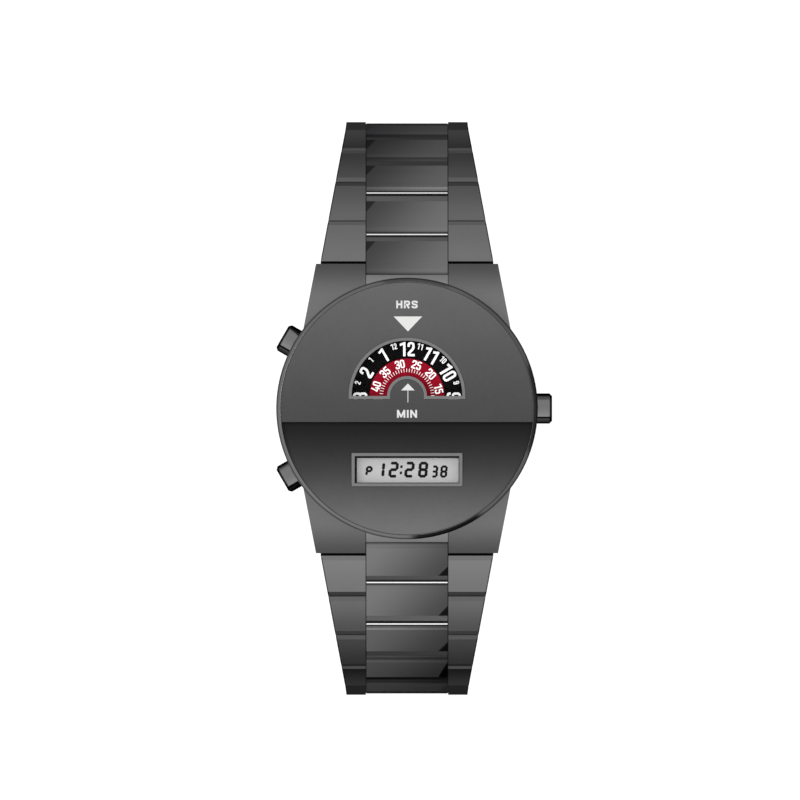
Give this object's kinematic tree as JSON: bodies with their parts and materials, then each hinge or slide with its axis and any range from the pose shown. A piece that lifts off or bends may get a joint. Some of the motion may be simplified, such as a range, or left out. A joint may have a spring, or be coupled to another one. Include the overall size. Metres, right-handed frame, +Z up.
{
  "type": "digital watch",
  "caption": "Round steel wristwatch with turning disc scales behind an arched window, a small digital display, push buttons and a linked steel bracelet with a folding clasp.",
  "frame": {"origin": "middle of the case back's outer face", "axes": "+Z up through the dial, +Y towards twelve o'clock, +X towards the crown at three o'clock"},
  "size_m": [0.0422, 0.0882, 0.0539],
  "materials": {
    "case_steel": "brushed dark grey plated steel",
    "polished_steel": "polished dark grey plated steel",
    "link_steel": "satin dark grey plated steel",
    "clasp_steel": "satin dark grey plated steel",
    "face_coating": "fine matt grey coating",
    "frame_steel": "satin light grey steel",
    "crystal": "clear mineral glass",
    "minute_red": "satin red print",
    "hour_black": "satin black print",
    "display_glass": "grey reflective display",
    "pin_steel": "bright steel",
    "brass": "plain brass and copper",
    "cell_steel": "nickel plated steel",
    "black_rubber": "soft black rubber",
    "holder_plastic": "moulded off-white plastic",
    "board_green": "green lacquered board"
  },
  "bodies": {
    "case": {"case_middle": "case_steel", "case_back": "case_steel", "case_back_gasket": "black_rubber", "case_back_screws": "pin_steel", "bezel_ring": "polished_steel", "face_gasket": "black_rubber", "face_plate": "face_coating", "arch_frame": "frame_steel", "lcd_frame": "frame_steel", "arch_crystal": "crystal", "lcd_crystal": "crystal", "movement_ring": "holder_plastic", "circuit_board": "board_green", "battery": "cell_steel", "battery_clip": "brass", "analog_movement": "holder_plastic", "stepper_coil": "brass", "zebra_strips": "black_rubber", "lcd_panel": "display_glass", "crown_tube": "pin_steel", "pusher_tubes": "pin_steel", "upper_pusher_spring": "pin_steel", "lower_pusher_spring": "pin_steel"},
    "minute_display": {"minute_disc": "minute_red", "cannon_pinion": "brass"},
    "intermediate_wheel": {"minute_wheel": "brass"},
    "hour_display": {"hour_disc": "hour_black", "hour_wheel": "brass"},
    "setting_slide": {"setting_lever": "pin_steel"},
    "crown": {"crown": "polished_steel", "setting_stem": "brass", "crown_gasket": "black_rubber"},
    "upper_pusher": {"upper_pusher": "polished_steel"},
    "lower_pusher": {"lower_pusher": "polished_steel"},
    "row_12_01": {"link_12_01": "link_steel"},
    "row_12_02": {"link_12_02": "link_steel"},
    "row_12_03": {"link_12_03": "link_steel"},
    "row_12_04": {"link_12_04": "link_steel"},
    "row_12_05": {"link_12_05": "link_steel"},
    "row_12_06": {"link_12_06": "link_steel"},
    "row_12_07": {"link_12_07": "link_steel"},
    "row_12_08": {"link_12_08": "link_steel"},
    "row_12_09": {"link_12_09": "link_steel"},
    "row_12_10": {"link_12_10": "link_steel"},
    "row_06_01": {"link_06_01": "link_steel"},
    "row_06_02": {"link_06_02": "link_steel"},
    "row_06_03": {"link_06_03": "link_steel"},
    "row_06_04": {"link_06_04": "link_steel"},
    "row_06_05": {"link_06_05": "link_steel"},
    "row_06_06": {"link_06_06": "link_steel"},
    "row_06_07": {"link_06_07": "link_steel"},
    "row_06_08": {"link_06_08": "link_steel"},
    "row_06_09": {"link_06_09": "link_steel"},
    "row_06_10": {"link_06_10": "link_steel"},
    "inner_blade": {"clasp_inner_blade": "clasp_steel", "inner_spring_bar": "pin_steel"},
    "outer_blade": {"clasp_outer_blade": "clasp_steel", "fold_pin": "pin_steel"},
    "cover": {"clasp_cover": "clasp_steel", "cover_pins": "pin_steel"}
  },
  "joints": [
    {"name": "minute_disc_turn", "type": "hinge", "parent": "case", "child": "minute_display", "pos_m": [0, 0.00192, 0.0082], "axis": [0, 0, 1], "continuous": true},
    {"name": "intermediate_wheel_turn", "type": "hinge", "parent": "case", "child": "intermediate_wheel", "pos_m": [0, 0.00672, 0.007], "axis": [0, 0, 1], "continuous": true},
    {"name": "hour_disc_turn", "type": "hinge", "parent": "case", "child": "hour_display", "pos_m": [0, 0.00192, 0.0082], "axis": [0, 0, 1], "continuous": true},
    {"name": "crown_pull", "type": "slide", "parent": "case", "child": "setting_slide", "axis": [1, 0, 0], "range_m": [0, 0.0007]},
    {"name": "crown_turn", "type": "hinge", "parent": "setting_slide", "child": "crown", "pos_m": [0.021, 0, 0.005], "axis": [1, 0, 0], "continuous": true},
    {"name": "upper_pusher_press", "type": "slide", "parent": "case", "child": "upper_pusher", "axis": [0.866, -0.5, 0], "range_m": [0, 0.0008], "stiffness_N_per_m": 1200, "springref_m": -0.0008, "deforming": ["upper_pusher_spring"]},
    {"name": "lower_pusher_press", "type": "slide", "parent": "case", "child": "lower_pusher", "axis": [0.866, 0.5, 0], "range_m": [0, 0.0008], "stiffness_N_per_m": 1200, "springref_m": -0.0008, "deforming": ["lower_pusher_spring"]},
    {"name": "row_12_01_bend", "type": "hinge", "parent": "case", "child": "row_12_01", "pos_m": [0, 0.02055, 0.004], "axis": [1, 0, 0], "range_deg": [0, 19.1]},
    {"name": "row_12_02_bend", "type": "hinge", "parent": "row_12_01", "child": "row_12_02", "pos_m": [0, 0.02675, 0.00185], "axis": [1, 0, 0], "range_deg": [0, 6.3]},
    {"name": "row_12_03_bend", "type": "hinge", "parent": "row_12_02", "child": "row_12_03", "pos_m": [0, 0.03268, -0.00096], "axis": [1, 0, 0], "range_deg": [0, 16.9]},
    {"name": "row_12_04_bend", "type": "hinge", "parent": "row_12_03", "child": "row_12_04", "pos_m": [0, 0.03753, -0.00537], "axis": [1, 0, 0], "range_deg": [0, 16.9]},
    {"name": "row_12_05_bend", "type": "hinge", "parent": "row_12_04", "child": "row_12_05", "pos_m": [0, 0.04089, -0.01101], "axis": [1, 0, 0], "range_deg": [0, 16.9]},
    {"name": "row_12_06_bend", "type": "hinge", "parent": "row_12_05", "child": "row_12_06", "pos_m": [0, 0.04246, -0.01738], "axis": [1, 0, 0], "range_deg": [0, 16.9]},
    {"name": "row_12_07_bend", "type": "hinge", "parent": "row_12_06", "child": "row_12_07", "pos_m": [0, 0.04212, -0.02393], "axis": [1, 0, 0], "range_deg": [0, 16.9]},
    {"name": "row_12_08_bend", "type": "hinge", "parent": "row_12_07", "child": "row_12_08", "pos_m": [0, 0.03988, -0.0301], "axis": [1, 0, 0], "range_deg": [0, 16.9]},
    {"name": "row_12_09_bend", "type": "hinge", "parent": "row_12_08", "child": "row_12_09", "pos_m": [0, 0.03596, -0.03535], "axis": [1, 0, 0], "range_deg": [0, 16.9]},
    {"name": "row_12_10_bend", "type": "hinge", "parent": "row_12_09", "child": "row_12_10", "pos_m": [0, 0.03067, -0.03923], "axis": [1, 0, 0], "range_deg": [0, 16.9]},
    {"name": "row_06_01_bend", "type": "hinge", "parent": "case", "child": "row_06_01", "pos_m": [0, -0.02055, 0.004], "axis": [-1, 0, 0], "range_deg": [0, 19.1]},
    {"name": "row_06_02_bend", "type": "hinge", "parent": "row_06_01", "child": "row_06_02", "pos_m": [0, -0.02675, 0.00185], "axis": [-1, 0, 0], "range_deg": [0, 6.3]},
    {"name": "row_06_03_bend", "type": "hinge", "parent": "row_06_02", "child": "row_06_03", "pos_m": [0, -0.03268, -0.00096], "axis": [-1, 0, 0], "range_deg": [0, 16.9]},
    {"name": "row_06_04_bend", "type": "hinge", "parent": "row_06_03", "child": "row_06_04", "pos_m": [0, -0.03753, -0.00537], "axis": [-1, 0, 0], "range_deg": [0, 16.9]},
    {"name": "row_06_05_bend", "type": "hinge", "parent": "row_06_04", "child": "row_06_05", "pos_m": [0, -0.04089, -0.01101], "axis": [-1, 0, 0], "range_deg": [0, 16.9]},
    {"name": "row_06_06_bend", "type": "hinge", "parent": "row_06_05", "child": "row_06_06", "pos_m": [0, -0.04246, -0.01738], "axis": [-1, 0, 0], "range_deg": [0, 16.9]},
    {"name": "row_06_07_bend", "type": "hinge", "parent": "row_06_06", "child": "row_06_07", "pos_m": [0, -0.04212, -0.02393], "axis": [-1, 0, 0], "range_deg": [0, 16.9]},
    {"name": "row_06_08_bend", "type": "hinge", "parent": "row_06_07", "child": "row_06_08", "pos_m": [0, -0.03988, -0.0301], "axis": [-1, 0, 0], "range_deg": [0, 16.9]},
    {"name": "row_06_09_bend", "type": "hinge", "parent": "row_06_08", "child": "row_06_09", "pos_m": [0, -0.03596, -0.03535], "axis": [-1, 0, 0], "range_deg": [0, 16.9]},
    {"name": "row_06_10_bend", "type": "hinge", "parent": "row_06_09", "child": "row_06_10", "pos_m": [0, -0.03067, -0.03923], "axis": [-1, 0, 0], "range_deg": [0, 16.9]},
    {"name": "inner_blade_bend", "type": "hinge", "parent": "row_06_10", "child": "inner_blade", "pos_m": [0, -0.02448, -0.04141], "axis": [-1, 0, 0], "range_deg": [0, 19.4]},
    {"name": "clasp_unfold", "type": "hinge", "parent": "inner_blade", "child": "outer_blade", "pos_m": [0, 0.0195, -0.04149], "axis": [1, 0, 0], "range_deg": [0, 140]},
    {"name": "cover_unfold", "type": "hinge", "parent": "outer_blade", "child": "cover", "pos_m": [0, -0.0195, -0.04246], "axis": [-1, 0, 0], "range_deg": [0, 140]}
  ],
  "couplings": [
    {"joint": "intermediate_wheel_turn", "follows": "minute_disc_turn", "ratio": -0.33333},
    {"joint": "hour_disc_turn", "follows": "minute_disc_turn", "ratio": 0.083333},
    {"joint": "cover_unfold", "follows": "clasp_unfold", "ratio": 1}
  ]
}
